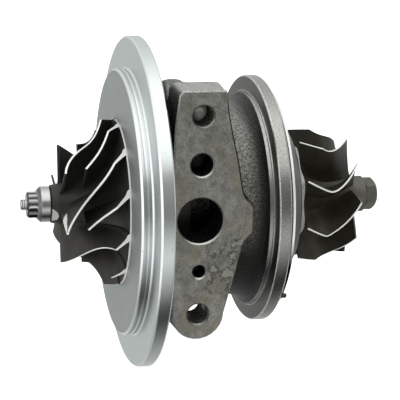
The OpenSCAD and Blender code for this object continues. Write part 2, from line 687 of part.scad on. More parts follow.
// Nut with twelve points and a round collar
module shaft_nut() color("lightgray") difference() {
    union() {
        for (a = [0, 30]) rotate([a, 0, 0]) along_x(nut_x) cylinder(h = nut_l + eps, d = nut_d, $fn = 6);
        turned([[collar_x - 0.6, 0], [collar_x - 0.6, nut_d / 2 - 0.4], [collar_x + 1, nut_collar_d / 2],
            [wheel_nose_x - 0.7, nut_collar_d / 2], [wheel_nose_x, nut_collar_d / 2 - 0.4],
            [wheel_nose_x, 0]]);
    }
    disc(nut_x - 1, nut_l + nut_collar_l + 2, stud_bore_r);
}

bearing_housing();
compressor_end_plate();
plate_bolts();
plate_o_ring();
thrust_bearing();
oil_deflector();
oil_flinger();
thrust_collar();
thrust_washer();
compressor_seal_ring();
compressor_journal_bearing();
turbine_journal_bearing();
bearing_circlips();
turbine_seal_ring();
heat_shield();
flange_pin();
rotor_shaft();
turbine_wheel();
compressor_wheel();
shaft_nut();
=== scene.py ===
import bmesh
import bpy
import numpy as np
from mathutils import Matrix, Vector


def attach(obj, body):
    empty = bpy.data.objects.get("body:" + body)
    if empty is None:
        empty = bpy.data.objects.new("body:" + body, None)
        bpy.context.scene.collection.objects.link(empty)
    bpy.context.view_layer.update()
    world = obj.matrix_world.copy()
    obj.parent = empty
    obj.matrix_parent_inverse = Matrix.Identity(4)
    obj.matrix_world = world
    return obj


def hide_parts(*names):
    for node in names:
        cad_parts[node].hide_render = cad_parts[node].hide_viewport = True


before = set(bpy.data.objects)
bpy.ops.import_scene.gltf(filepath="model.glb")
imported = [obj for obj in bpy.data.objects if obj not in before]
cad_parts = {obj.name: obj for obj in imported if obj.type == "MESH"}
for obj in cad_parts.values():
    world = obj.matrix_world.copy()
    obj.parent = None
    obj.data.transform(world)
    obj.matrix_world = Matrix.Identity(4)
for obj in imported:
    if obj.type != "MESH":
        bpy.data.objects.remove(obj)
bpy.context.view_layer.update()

mm = 0.001  # every size below is in millimetres and is scaled once, when a mesh is made
print("frame loaded with", len(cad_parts), "nodes")


# Shader maths


class Wire:  # a socket that takes part in Python expressions; each operator adds a Math node
    def __init__(self, tree, socket=None):
        self.tree = tree
        self.socket = socket

    def node(self, kind, sockets, settings=None, out=0):  # any node: settings first, then values or links
        made = self.tree.nodes.new("ShaderNode" + kind)
        for key, value in (settings or {}).items():
            if key == "stops":
                while len(made.color_ramp.elements) < len(value):
                    made.color_ramp.elements.new(1.0)
                for element, (position, colour) in zip(made.color_ramp.elements, value):
                    element.position = position
                    element.color = (*colour, 1.0)
            else:
                setattr(made, key, value)
        for key, value in sockets.items():
            if isinstance(value, Wire):
                self.tree.links.new(value.socket, made.inputs[key])
            else:
                made.inputs[key].default_value = value
        return Wire(self.tree, made.outputs[out])

    def math(self, operation, first, second=0.0):
        return self.node("Math", {0: first, 1: second}, {"operation": operation})

    def __add__(self, other):
        return self.math("ADD", self, other)

    def __sub__(self, other):
        return self.math("SUBTRACT", self, other)

    def __rsub__(self, other):
        return self.math("SUBTRACT", other, self)

    def __mul__(self, other):
        return self.math("MULTIPLY", self, other)

    def __pow__(self, other):
        return self.math("POWER", self, other)

    __radd__ = __add__
    __rmul__ = __mul__

    def step(self, low, high):  # 0 below low, 1 above high, straight between
        return self.node("MapRange", {0: self, 1: low, 2: high, 3: 0.0, 4: 1.0})

    def mix(self, first, second):  # colour mix with this value as the factor
        return self.node("Mix", {0: self, 6: first, 7: second}, {"data_type": "RGBA"}, out=2)


def grey(level, warmth=0.0):  # one level; warmth moves it from blue to red, and below zero takes red away
    warm, cool = max(warmth, 0.0), min(warmth, 0.0)
    return (level * (1 + 0.35 * warm + cool), level, level * (1 - warm), 1.0)


class Finish:  # a material under construction: its shader, and the place in mm that its patterns read
    def __init__(self, name, metallic=1.0, roughness=0.4):
        self.material = bpy.data.materials.new(name)
        self.material.use_nodes = True
        tree = self.material.node_tree
        self.shader = next(n for n in tree.nodes if n.type == "BSDF_PRINCIPLED")
        self.shader.inputs["Metallic"].default_value = metallic
        self.shader.inputs["Roughness"].default_value = roughness
        start = Wire(tree)
        self.place = start.node("TexCoord", {}, out=3)
        axes = [start.node("SeparateXYZ", {0: self.place}, out=axis) for axis in range(3)]
        self.x, self.y, self.z = [axis * (1 / mm) for axis in axes]
        self.radius = (self.y * self.y + self.z * self.z) ** 0.5

    def noise(self, size, detail=3.0, roughness=0.5):  # size of the blotches in mm
        return self.place.node("TexNoise", {"Vector": self.place, "Scale": 1 / (size * mm),
                                            "Detail": detail, "Roughness": roughness})

    def cells(self, size):
        return self.place.node("TexVoronoi", {"Vector": self.place, "Scale": 1 / (size * mm)})

    def lines(self, along):  # noise that changes along one length alone
        return self.place.node("TexNoise", {"W": along, "Scale": 1.0, "Detail": 2.0},
                               {"noise_dimensions": "1D"})

    def rings(self, pitch, axis="radius"):  # fine turning marks, uneven from mark to mark
        return self.lines((self.radius if axis == "radius" else self.x) * (1 / pitch))

    def attribute(self, name):
        return self.place.node("Attribute", {}, {"attribute_name": name}, out=2)

    def edges(self):  # chamfers of a turned piece, which lie between its faces and its sides
        share = self.attribute("side")
        return share.step(0.45, 0.55) * (1 - share.step(0.85, 0.95))

    def set(self, socket, wire):
        wire.tree.links.new(wire.socket, self.shader.inputs[socket])

    def bump(self, height, depth):  # depth in mm
        self.set("Normal", height.node("Bump", {"Height": height, "Distance": depth * mm, "Strength": 1.0}))


# Finishes: two colours are a tone's dark and light end, two numbers are where a zone starts and is full

plateTones = {"spigot": (grey(0.37, -0.05), grey(0.45, -0.04)),
              "seat": (grey(0.62, -0.06), grey(0.71, -0.05)),
              "side": (grey(0.6, -0.05), grey(0.68, -0.04)), "rim": (grey(0.7, -0.05), grey(0.77, -0.04)),
              "edge": grey(0.9, -0.02), "nick": grey(0.3, -0.05),
              "spigotX": (3.2, 3.4), "rimR": (50.0, 52.0)}


def turnedAluminium():  # satin face on the spigot, smoother seat ring, bright sides and edges
    f, tones = Finish("turnedAluminium"), plateTones
    side = f.attribute("side").step(0.2, 0.6)
    spigot = (f.x * -1.0).step(*tones["spigotX"]) * (1 - side)
    rim = f.radius.step(*tones["rimR"]) * side
    tone = (f.rings(0.5) * 0.4 + f.noise(9.0) * 0.3 + f.noise(0.4) * 0.3).step(0.3, 0.7)
    face = spigot.mix(tone.mix(*tones["seat"]), tone.mix(*tones["spigot"]))
    flank = rim.mix(tone.mix(*tones["side"]), tone.mix(*tones["rim"]))
    nicks = (f.noise(1.1, 2.0).step(0.7, 0.72) + f.noise(2.3, 2.0).step(0.73, 0.75)) * 0.35
    edges = f.edges()
    base = edges.mix(side.mix(face, flank), tones["edge"])
    f.set("Base Color", nicks.mix(base, tones["nick"]))
    f.set("Roughness", spigot * 0.16 + side * -0.14 + tone * 0.08 + edges * -0.06 + 0.3)
    f.bump(f.rings(0.35) * 0.7 + f.noise(0.5) * 0.3, 0.006)
    return f.material


holes = {"boltTop": {"z": 37.1, "r": 3.4, "depth": 10.0, "pitch": 1.25},  # a pitch gives a thread
         "boltLow": {"z": -28.7, "r": 3.4, "depth": 20.0},
         "inlet": {"z": 21.3, "r": 3.7, "depth": 12.0},
         "drain": {"z": 2.9, "r": 7.5, "depth": 16.0, "flat": True},
         "dowel": {"z": -14.2, "r": 2.1, "depth": 8.0}}
holeShape = {"x": 16.8, "chamfer": 0.5, "chamferDepth": 0.55, "cone": 0.55, "threadDepth": 0.5,
             "runOut": 0.8, "above": 3.0}

castTones = {"skin": (grey(0.085, 0.08), grey(0.33, 0.08)), "padTop": grey(0.46, 0.05),
             "flare": grey(0.025, 0.05), "paintedShade": grey(0.03, 0.05), "shade": grey(0.035, 0.05),
             "padEdge": (grey(0.22, 0.08), grey(0.5, 0.06)), "oil": grey(0.012, 0.1),
             "milled": (grey(0.14, 0.11), grey(0.34, 0.09)), "cloud": grey(0.13, 0.11),
             "stain": (0.25, 0.215, 0.15, 1.0), "nub": (0.19, 0.16, 0.105, 1.0), "island": grey(0.38, 0.06),
             "pit": (0.07, 0.058, 0.035, 1.0), "oilyWall": grey(0.025, 0.1), "cutWall": grey(0.45, 0.08),
             "oilyMouth": grey(0.5, 0.05), "cutMouth": grey(0.2, 0.08)}
castZones = {"padTop": (44.4, 45.1), "flare": (34.8, 38.4), "paintedShade": (-4.0, 12.0), "shade": (8.6, 9.8),
             "padEdge": (37.3, 37.4), "padFace": (37.9, 37.97), "oilX": (23.8, 24.6),
             "oilDepth": (36.0, 36.6), "oilZ": (6.0, 10.0), "nub": (31.5, 35.0), "wornX": (17.0, 21.0),
             "wornTop": (-5.0, -1.0), "wornLow": (-25.0, -20.0), "holeEnd": (18.0, 20.0),
             "arcMiddle": (-14.0, 8.0), "arcPitch": 1.6}


def castSkin(skin, x, z, outward):  # painted shade low down, in the flare and behind the plate, and a painted shadow line by the pad
    tones, zones = castTones, castZones
    rough = skin.step(0.38, 0.64).mix(*tones["skin"])
    rough = (z.step(*zones["padTop"]) * skin.step(0.3, 0.5)).mix(rough, tones["padTop"])
    # painted shade in the concave flare next to the flange
    rough = (x.step(*zones["flare"]) * 0.9).mix(rough, tones["flare"])
    # painted shade, darker towards the bottom
    rough = ((z * -1.0).step(*zones["paintedShade"]) * 0.92).mix(rough, tones["paintedShade"])
    rough = x.step(*zones["shade"]).mix(tones["shade"], rough)
    edge = outward.step(*zones["padEdge"])  # broken edge of the pad, with a painted shadow line along it towards the turbine
    rough = edge.mix(rough, skin.step(0.35, 0.6).mix(*tones["padEdge"]))
    # painted shadow: a dark line beside the pad's side towards the turbine
    oil = x.step(*zones["oilX"]) * outward.step(*zones["oilDepth"]) * z.step(*zones["oilZ"])
    return oil.mix(rough, tones["oil"])


def padSkin(f, x, z):  # milled face with cutter arcs, clouds, stains, and clean islands in a ring of pits
    tones, zones = castTones, castZones
    arcX, arcZ = x - zones["arcMiddle"][0], z - zones["arcMiddle"][1]
    arcs = f.lines(((arcX * arcX + arcZ * arcZ) ** 0.5) * zones["arcPitch"])
    mottle = (f.noise(0.45, 4.0, 0.65) * 0.5 + f.noise(2.6, 3.0) * 0.35 + arcs * 0.15).step(0.38, 0.62)
    milled = mottle.mix(*tones["milled"])
    milled = (f.noise(9.0, 4.0, 0.6).step(0.5, 0.6) * 0.35).mix(milled, tones["cloud"])
    milled = (f.noise(7.0, 4.0, 0.6).step(0.54, 0.62) * 0.4).mix(milled, tones["stain"])
    milled = ((x + f.noise(5.0) * 8.0).step(*zones["nub"]) * 0.28).mix(milled, tones["nub"])
    worn = x.step(*zones["wornX"]) * (1 - z.step(*zones["wornTop"])) * z.step(*zones["wornLow"])
    island = f.noise(6.5, 3.0, 0.6)
    ring = island.step(0.44, 0.48) * (1 - island.step(0.5, 0.54))
    pits = worn * ring * f.noise(0.5, 3.0, 0.6).step(0.42, 0.56)
    milled = (worn * island.step(0.5, 0.54) * 0.45).mix(milled, tones["island"])
    return (pits * 0.8).mix(milled, tones["pit"]), pits


def castIron():  # the skin, the milled pad, and the walls and mouths of its holes
    f = Finish("castIron", metallic=0.9)
    x, z, outward = f.x, f.z, f.y * -1.0
    skin = f.noise(0.65, 4.0, 0.6)
    grain = f.cells(0.8)
    machined = outward.step(*castZones["padFace"])
    milled, pits = padSkin(f, x, z)
    base = machined.mix(castSkin(skin, x, z, outward), milled)
    masks = {"oilyWall": [], "cutWall": [], "oilyMouth": [], "cutMouth": []}
    for name, hole in holes.items():
        across, up = x - holeShape["x"], z - hole["z"]
        away = (across * across + up * up) ** 0.5
        wide = hole["r"] + holeShape["chamfer"]
        inside = (1 - away.step(wide - 0.02, wide + 0.04)) * outward.step(*castZones["holeEnd"])
        mouth = away.step(hole["r"] - 0.02, hole["r"] + 0.1) * inside
        # painted shade on the walls of the inlet, drain and dowel holes
        kind = "cut" if "bolt" in name else "oily"
        masks[kind + "Mouth"].append(mouth)
        masks[kind + "Wall"].append(inside - mouth)
    for name, parts in masks.items():
        base = sum(parts).mix(base, castTones[name])
    inHoles = sum(sum(parts) for parts in masks.values())
    f.set("Base Color", base)
    f.set("Roughness", machined * -0.06 + inHoles * -0.16 + skin * 0.15 + 0.36)
    blasted = (skin + grain * 0.5) * (1 - machined) * (1 - inHoles)
    f.bump(blasted + (f.noise(0.5, 4.0) * 0.09 - pits * 0.3) * machined, 0.28)
    return f.material


flangeTones = {"face": (grey(0.1, 0.08), grey(0.155, 0.08)), "faceShade": grey(0.06, 0.05),
               "side": (grey(0.28, 0.06), grey(0.43, 0.06)), "edge": (grey(0.4, 0.04), grey(0.8, 0.04)),
               "paintedShade": grey(0.02, 0.05), "paintedHighlight": grey(0.92), "low": (4.0, 14.0), "grooveX": (46.35, 46.45),
               "pilotX": (47.4, 47.5), "pilotR": (39.1, 39.3)}


def turnedIron():  # finely speckled, smoother on the sides than on the faces, painted shade in the groove and low down, a painted highlight on the upper pilot
    f, tones = Finish("turnedIron"), flangeTones
    side = f.attribute("side").step(0.2, 0.6)
    tone = (f.rings(0.4) * 0.2 + f.noise(0.6, 4.0, 0.6) * 0.8).step(0.32, 0.68)
    low = (f.z * -1.0).step(*tones["low"])
    # painted shade on the lower part of the front face
    face = (low * 0.4).mix(tone.mix(*tones["face"]), tones["faceShade"])
    base = side.mix(face, tone.mix(*tones["side"]))
    base = f.edges().mix(base, tone.mix(*tones["edge"]))
    pastGroove = f.x.step(*tones["pilotX"])
    groove = f.x.step(*tones["grooveX"]) * (1 - pastGroove)
    pilot = pastGroove * f.radius.step(*tones["pilotR"])  # painted highlight above, painted shadow below
    paintedHighlight = pilot * (1 - low)
    # painted shade in the relief groove and on the lower pilot
    base = (groove + pilot * low).mix(base, tones["paintedShade"])
    # painted highlight: near-white and mostly not metallic on the upper pilot
    f.set("Base Color", paintedHighlight.mix(base, tones["paintedHighlight"]))
    f.set("Metallic", 1 - paintedHighlight * 0.8)
    f.set("Roughness", side * -0.16 + f.noise(2.0) * 0.1 + 0.34)
    f.bump(f.noise(0.35, 4.0) * 0.6 + f.rings(0.3) * 0.4, 0.014)
    return f.material


def wheelAlloy(name, dark, warmth, cut):  # blasted flanks and bright cut edges
    f = Finish(name)
    bare = f.attribute("bare")
    bloom = f.noise(5.0, 3.0).step(0.3, 0.75)
    flank = bloom.mix(grey(dark, warmth), grey(dark * 1.7, warmth))
    f.set("Base Color", bare.mix(flank, grey(cut, warmth * 0.15)))
    f.set("Metallic", 0.55 - bare * 0.2)
    f.set("Roughness", f.noise(0.6) * 0.12 + 0.42)
    f.bump(f.noise(0.3, 3.0) * (1 - bare), 0.03)
    return f.material


def plainMetal(name, low, high, roughness):  # ground or turned metal of small pieces
    f = Finish(name)
    tone = f.rings(0.25, "x") * 0.5 + f.noise(0.6, 4.0) * 0.5
    f.set("Base Color", tone.step(0.3, 0.7).mix(low, high))
    f.set("Roughness", f.noise(1.5) * 0.15 + (roughness - 0.07))
    f.bump(tone, 0.012)
    return f.material


nutTones = {"shadedFlute": grey(0.045), "point": grey(0.48), "under": grey(0.035), "cone": grey(0.16, 0.04),
            "collar": (grey(0.42), grey(0.58)), "low": (0.5, 3.0), "pointR": (4.22, 4.5),
            "coneX": (-31.2, -31.1), "collarX": (-30.1, -29.9)}


def nutSteel():  # painted highlights on the points, painted shade in the flutes and underneath, a dull cone and a bright collar
    f, tones = Finish("nutSteel"), nutTones
    low = (f.z * -1.0).step(*tones["low"])
    points = f.radius.step(*tones["pointR"])
    # painted highlight on the points, painted shade in the flutes and underneath
    base = (low * 0.75).mix(points.mix(tones["shadedFlute"], tones["point"]), tones["under"])
    base = f.x.step(*tones["coneX"]).mix(base, tones["cone"])
    f.set("Base Color", f.x.step(*tones["collarX"]).mix(base, f.rings(0.25, "x").mix(*tones["collar"])))
    f.set("Roughness", f.noise(1.5) * 0.15 + 0.04)
    return f.material


def ringRubber():
    f = Finish("ringRubber", metallic=0.0, roughness=0.7)
    f.set("Base Color", f.noise(0.8, 4.0).step(0.3, 0.7).mix(grey(0.012), grey(0.03)))
    f.bump(f.noise(0.3), 0.02)
    return f.material


finishes = {
    "plate": turnedAluminium(),
    "casting": castIron(),
    "flange": turnedIron(),
    "compressor": wheelAlloy("compressorAlloy", 0.027, 0.16, 0.95),
    "turbine": wheelAlloy("turbineAlloy", 0.038, 0.28, 0.8),
    "nut": nutSteel(),
    "ground": plainMetal("groundSteel", grey(0.45), grey(0.6), 0.25),
    "spring": plainMetal("springSteel", grey(0.2), grey(0.32), 0.35),
    "bolt": plainMetal("boltSteel", grey(0.05, 0.05), grey(0.1, 0.05), 0.42),
    "shield": plainMetal("shieldSteel", grey(0.18, 0.06), grey(0.27, 0.06), 0.3),
    "bronze": plainMetal("bearingBronze", (0.58, 0.4, 0.2, 1.0), (0.75, 0.54, 0.3, 1.0), 0.3),
    "rubber": ringRubber(),
}
print("finishes made:", len(finishes))


# Surfaces

byFlats = 99.0  # stands in a row of radii where a hexagon's flats set them


def aroundShaft(x, r, angle):  # points at x along the shaft and radius r; angle runs from -Y towards +Z
    x, r, angle = np.broadcast_arrays(x, r, angle)
    return np.stack([x, -r * np.cos(angle), r * np.sin(angle)], axis=-1)


def pointedR(angle, flat):  # radius of a hexagon of the given width across its flats
    fold = (np.degrees(angle) + 30) % 60 - 30
    return flat / 2 / np.cos(np.radians(fold))


def gridFaces(rows, cols, wrapRows=False, wrapCols=False):  # four-sided faces between neighbours of a grid
    i, j = np.meshgrid(np.arange(rows - (not wrapRows)), np.arange(cols - (not wrapCols)), indexing="ij")
    down, right = (i + 1) % rows, (j + 1) % cols
    corners = [i * cols + j, i * cols + right, down * cols + right, down * cols + j]
    return np.stack(corners, axis=-1).reshape(-1, 4)


def softened(corners, steps=4):  # each corner [x, r, radius] becomes a short curve tangent to both sides
    corners = np.array(corners, float)
    point, radius = corners[:, :2], corners[:, 2:]
    sides, curve = [], []
    for shift in (1, -1):
        side = np.roll(point, shift, axis=0) - point
        length = np.linalg.norm(side, axis=1, keepdims=True)
        sides.append(point + side / length * np.minimum(radius, 0.45 * length))
    for t in np.linspace(0, 1, steps):
        curve.append((1 - t) ** 2 * sides[0] + 2 * t * (1 - t) * point + t * t * sides[1])
    return np.stack(curve, axis=1).reshape(-1, 2)


def ringed(x, radii, angle, wrapRows=False):  # surface through rings at x, with a radius for each angle
    points = aroundShaft(x[:, None], radii, angle[None, :])
    return points.reshape(-1, 3), gridFaces(len(x), len(angle), wrapRows, wrapCols=True)


def lathe(outline, segments=160):  # turns a closed outline of [x, r] points round the shaft
    angle = np.linspace(0, 2 * np.pi, segments, endpoint=False)
    return ringed(outline[:, 0], outline[:, 1:], angle, wrapRows=True)


def sideShare(outline, segments):  # for each face of a lathe: 0 across the shaft, 1 along it
    step = np.abs(np.roll(outline, -1, axis=0) - outline)
    return np.repeat(step[:, 0] / np.maximum(np.hypot(step[:, 0], step[:, 1]), 1e-9), segments)


def joined(shells):  # several shells of points and faces as one
    points, faces, start = [], [], 0
    for shellPoints, shellFaces in shells:
        points.append(shellPoints)
        faces.append(shellFaces + start)
        start += len(shellPoints)
    return np.concatenate(points), np.concatenate(faces)


def objectOf(name, data):
    made = bpy.data.objects.new(name, data)
    bpy.context.scene.collection.objects.link(made)
    return made


def pieceOf(name, points, faces, share=None, shareName="bare"):  # four-sided faces, each with its share
    mesh = bpy.data.meshes.new(name)
    mesh.vertices.add(len(points))
    mesh.vertices.foreach_set("co", (np.asarray(points) * mm).astype(np.float32).ravel())
    mesh.loops.add(faces.size)
    mesh.loops.foreach_set("vertex_index", faces.astype(np.int32).ravel())
    mesh.polygons.add(len(faces))
    mesh.polygons.foreach_set("loop_start", np.arange(0, faces.size, 4, dtype=np.int32))
    if share is not None:
        mesh.attributes.new(shareName, "FLOAT", "FACE").data.foreach_set("value", share.astype(np.float32))
    mesh.update(calc_edges=True)
    work = bmesh.new()
    work.from_mesh(mesh)
    bmesh.ops.remove_doubles(work, verts=work.verts, dist=1e-6)  # closes seams and poles
    bmesh.ops.recalc_face_normals(work, faces=work.faces)
    work.to_mesh(mesh)
    work.free()
    return objectOf(name, mesh)


def turned(name, outline, segments):  # a lathe that keeps how far each face runs along the shaft
    return pieceOf(name, *lathe(outline, segments), sideShare(outline, segments), "side")


def dress(piece, body, finish, node, sharp=0.55):  # shading, finish and the body that carries it
    mesh = piece.data
    mesh.polygons.foreach_set("use_smooth", np.ones(len(mesh.polygons), bool))
    mesh.set_sharp_from_angle(angle=sharp)
    mesh.materials.clear()
    mesh.materials.append(finishes[finish])
    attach(piece, body)
    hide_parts(node)
    print("made", piece.name, len(mesh.polygons), "faces")


# End plate: one closed outline turned round the shaft

plate = {"rim": 56.6, "rimBack": 4.7, "stepR": 50.0, "back": 5.6, "spigot": 45.6, "spigotFront": -3.9,
         "pocket": 28.6, "pocketFloor": -2.6, "bore": 8.0, "boss": 19.98, "bossEnd": 9.2, "oilSpace": 11.4,
         "oilFloor": 4.6, "edge": 0.7, "backEdge": 0.5, "mark": 0.35, "markAt": (0.54, 0.47, 0.4)}


def endPlate():
    p = plate
    front, side, edge, backEdge = p["spigotFront"], p["spigot"], p["edge"], p["backEdge"]
    markStart, markFloor, markEnd = [front * share for share in p["markAt"]]  # fine groove round the spigot
    outline = softened([
        (p["pocketFloor"], p["bore"], 0.3), (p["pocketFloor"], p["pocket"], 0.2), (front, p["pocket"], 0.2),
        (front, side - edge, 0.15), (front + edge, side, 0.15),
        (markStart, side, 0.05), (markFloor, side - p["mark"], 0.05), (markEnd, side, 0.05),
        (-0.5, side, 0.05), (-0.3, side + 0.25, 0.1), (0.0, side + 0.5, 0.1),
        (0.0, p["rim"] - edge, 0.15), (edge, p["rim"], 0.15), (p["rimBack"] - backEdge, p["rim"], 0.15),
        (p["rimBack"], p["rim"] - backEdge, 0.15), (p["rimBack"], p["stepR"], 0.2),
        (p["back"], p["stepR"], 0.2), (p["back"], p["boss"], 0.2),
        (p["bossEnd"], p["boss"], 0.3), (p["bossEnd"], p["oilSpace"], 0.3),
        (p["oilFloor"], p["oilSpace"], 0.3), (p["oilFloor"], p["bore"], 0.3)])
    piece = turned("endPlate", outline, 256)
    dress(piece, "housing", "plate", "compressor_end_plate", 0.3)


endPlate()


# Compressor wheel: a turned hub with full blades and splitters

compressor = {"blades": 6, "nose": -26.55, "noseR": 6.4, "hubStart": -24.65, "hubR": 6.9, "rim": -4.25,
              "back": -3.25, "boss": -1.45, "bossR": 7.6, "boreR": 2.52, "tipR": 28.2, "inducerR": 20.0,
              "lead": -23.3, "lag": 1.33, "exit": -8.45, "start": -15.7, "wrap": 57.0, "wrapPower": 0.65,
              "rake": 10.0, "splitter": 0.46, "tipT": 0.66, "rootT": 1.5, "growFrom": 0.4, "growOver": 0.2,
              "fillet": 0.54, "filletFall": 0.55, "sink": 0.7, "cutFrom": 0.36, "cutShare": 0.2,
              "cutPower": 0.7, "scoopAngle": -24.0, "scoopR": 5.75, "scoopSlope": 0.52, "scoopLength": 3.5,
              "scoopBare": 0.5}


# Closed shell about a sheet, half a thickness to each side: rows from root to tip, columns along the flow
def bladeShell(middle, half, trail, ground=None, groundBare=0.75):
    rows, cols = middle.shape[:2]
    normal = np.cross(np.gradient(middle, axis=1), np.gradient(middle, axis=0))
    offset = normal / np.linalg.norm(normal, axis=2, keepdims=True) * half[..., None]
    loop = np.concatenate([middle + offset, (middle - offset)[:, ::-1]], axis=1)
    faces = gridFaces(rows, 2 * cols, wrapCols=True)
    column = np.tile(np.arange(2 * cols), rows - 1)
    bare = np.where(column == cols - 1, trail, 0.0)  # how bright the trailing edge is
    if ground is not None:  # share of the flow that is ground bright on the near side, for each row
        flow = np.where(column >= cols, (2 * cols - 1.5 - column) / (cols - 1), 1.0)
        bare = np.where(flow < np.repeat(ground, 2 * cols), groundBare, bare)
    i = np.arange(cols - 1)
    strip = np.stack([i, i + 1, 2 * cols - 2 - i, 2 * cols - 1 - i], axis=-1)
    caps = np.concatenate([strip + (rows - 1) * 2 * cols, strip[:, ::-1]])
    bareCaps = np.repeat((1.0, 0.0), cols - 1)
    return (loop.reshape(-1, 3), np.concatenate([faces, caps])), np.concatenate([bare, bareCaps])


# Ruled between a hub path on a quarter ellipse and a tip path that flares as u^5
def compressorBlade(first, turn, cutBack):
    c = compressor
    t = np.linspace(0, 1, 22)[:, None]
    u = first + (1 - first) * np.linspace(0, 1, 60)[None, :] ** 1.4
    hubX = c["lead"] + (c["rim"] - c["lead"]) * u ** c["lag"]
    rise, run = c["tipR"] - c["hubR"], c["rim"] - c["hubStart"]
    s = np.clip((hubX - c["hubStart"]) / run, 0, 1)
    level = np.sqrt(1 - s * s)
    hubR = c["tipR"] - rise * level
    slope = np.hypot(rise * s, run * level)
    rootX = hubX + c["sink"] * rise * s / slope
    rootR = hubR - c["sink"] * run * level / slope
    tipX = c["lead"] + (c["exit"] - c["lead"]) * u
    tipR = c["inducerR"] + (c["tipR"] - c["inducerR"]) * u ** 5
    x = rootX + (tipX - rootX) * t
    r = rootR + (tipR - rootR) * t
    angle = np.radians(c["start"] + turn + c["wrap"] * u ** c["wrapPower"] + c["rake"] * (1 - t) * u * u)
    span = np.hypot(tipX - rootX, tipR - rootR)
    grow = c["growFrom"] + (1 - c["growFrom"]) * np.clip((u - first) / c["growOver"], 0, 1)
    half = (c["tipT"] + (c["rootT"] - c["tipT"]) * (1 - t) * grow) / 2  # thickens behind the leading edge
    half = half + c["fillet"] * np.exp(-np.maximum(t * span - c["sink"], 0) / c["filletFall"]) * grow
    up = (t[1:, 0] + t[:-1, 0]) / 2
    wedge = c["cutShare"] * ((1 - up) / (1 - c["cutFrom"])) ** c["cutPower"]
    wedge = np.where(up > c["cutFrom"], wedge, 0.0) if cutBack else None
    return bladeShell(aroundShaft(x, r, angle), half, 1.0, wedge)


# Turned outline; a flat is ground aslant on the nose, where the radius is a line over a cosine
def compressorHub():
    c = compressor
    s = np.sin(np.concatenate([np.linspace(0, 0.16, 14), np.linspace(0.2, np.pi / 2, 34)]))
    curve = np.stack([c["hubStart"] + (c["rim"] - c["hubStart"]) * s,
                      c["tipR"] - (c["tipR"] - c["hubR"]) * np.sqrt(1 - s * s)], axis=-1)
    along = np.linspace(0, 1, 10)[:-1]
    nose = np.stack([c["nose"] + (c["hubStart"] - c["nose"]) * along,
                     c["noseR"] + (c["hubR"] - c["noseR"]) * along], axis=-1)
    tail = [(c["back"], c["tipR"]), (c["back"], c["bossR"]),
            (c["boss"], c["bossR"]), (c["boss"], c["boreR"])]
    outline = np.concatenate([[(c["nose"], c["boreR"])], nose, curve, tail])
    points, faces = lathe(outline, 240)
    angle = np.arctan2(points[:, 2], -points[:, 1])
    radius = np.hypot(points[:, 1], points[:, 2])
    facing = np.maximum(np.cos(angle - np.radians(c["scoopAngle"])), 0.1)
    flat = (c["scoopR"] + c["scoopSlope"] * (points[:, 0] - c["nose"])) / facing
    ground = (radius > c["boreR"] + 1) & (flat < radius) & (points[:, 0] < c["nose"] + c["scoopLength"])
    points[:, 1:] *= np.where(ground, flat / radius, 1.0)[:, None]
    middle = points[faces].mean(axis=1)
    bare = np.where(ground[faces].all(axis=1), c["scoopBare"], 0.0)
    bare = np.where(np.hypot(middle[:, 1], middle[:, 2]) > c["tipR"] - 0.01, 1.0, bare)
    return (points, faces), bare


def compressorWheel():
    c = compressor
    pitch = 360.0 / c["blades"]
    blades = []
    for k in range(c["blades"]):
        blades.append(compressorBlade(0.0, pitch * k, cutBack=k == 0))
        blades.append(compressorBlade(c["splitter"], pitch * (k + 0.5), cutBack=False))
    shells, flags = zip(compressorHub(), *blades)
    piece = pieceOf("compressorWheel", *joined(shells), np.concatenate(flags))
    dress(piece, "rotor", "compressor", "compressor_wheel", 0.6)


compressorWheel()


# Turbine wheel: hub, blades and a nose that ends in a hexagon

turbine = {"blades": 9, "weld": 54.9, "weldR": 8.4, "back": 56.2, "discR": 19.5, "scallop": 1.1,
           "hubStart": 57.8, "hubEnd": 80.0, "inlet": 58.2, "kink": 65.6, "exit": 78.0, "inducerR": 23.4,
           "exducerR": 20.5, "noseR": 6.4, "nose": 84.8, "hex": 85.6, "end": 89.8, "flat": 10.0,
           "flatAngle": 70.0, "start": -24.0, "lean": 10.2, "soft": 0.1, "sweep": 1.8, "turn": 30.0,
           "twist": 10.0, "tipT": 0.56, "rootT": 2.0, "sink": 0.6, "fillet": 0.55, "filletFall": 0.9,
           "trail": 0.2, "discBare": 0.45, "noseBare": 0.08}


def turbineHubR(x):  # falls along a quarter ellipse from the back disc to the nose
    b = turbine
    s = np.clip((b["hubEnd"] - x) / (b["hubEnd"] - b["hubStart"]), 0, 1)
    return b["noseR"] + (b["discR"] - b["noseR"]) * (1 - np.sqrt(1 - s * s))


# Radial sheet: it leans at the inlet, then its tip falls as (1-s)^3 while it turns as s^2
def turbineBlade(place):
    b = turbine
    t = np.linspace(0, 1, 22)[:, None]
    tipX = np.linspace(b["inlet"], b["exit"], 64)[None, :]
    s = np.clip((tipX - b["kink"]) / (b["exit"] - b["kink"]), 0, 1)
    ahead = (b["kink"] - tipX) / (b["kink"] - b["inlet"])
    before = (ahead + np.sqrt(ahead * ahead + b["soft"])) / 2  # leans up to the kink, which is rounded
    hubX = tipX + b["sweep"] * s * s
    tipR = b["exducerR"] + (b["inducerR"] - b["exducerR"]) * (1 - s) ** 3
    rootR = turbineHubR(hubX) - b["sink"]
    x = hubX + (tipX - hubX) * t
    r = rootR + (tipR - rootR) * t
    turn = b["lean"] * before + b["turn"] * s ** 2 + b["twist"] * (1 - t) * s * s
    angle = np.radians(b["start"] + place + turn)
    half = (b["tipT"] + (b["rootT"] - b["tipT"]) * (1 - t) ** 1.5) / 2
    half = half + b["fillet"] * np.exp(-np.maximum(t * (tipR - rootR) - b["sink"], 0) / b["filletFall"])
    return bladeShell(aroundShaft(x, r, angle), half, b["trail"])


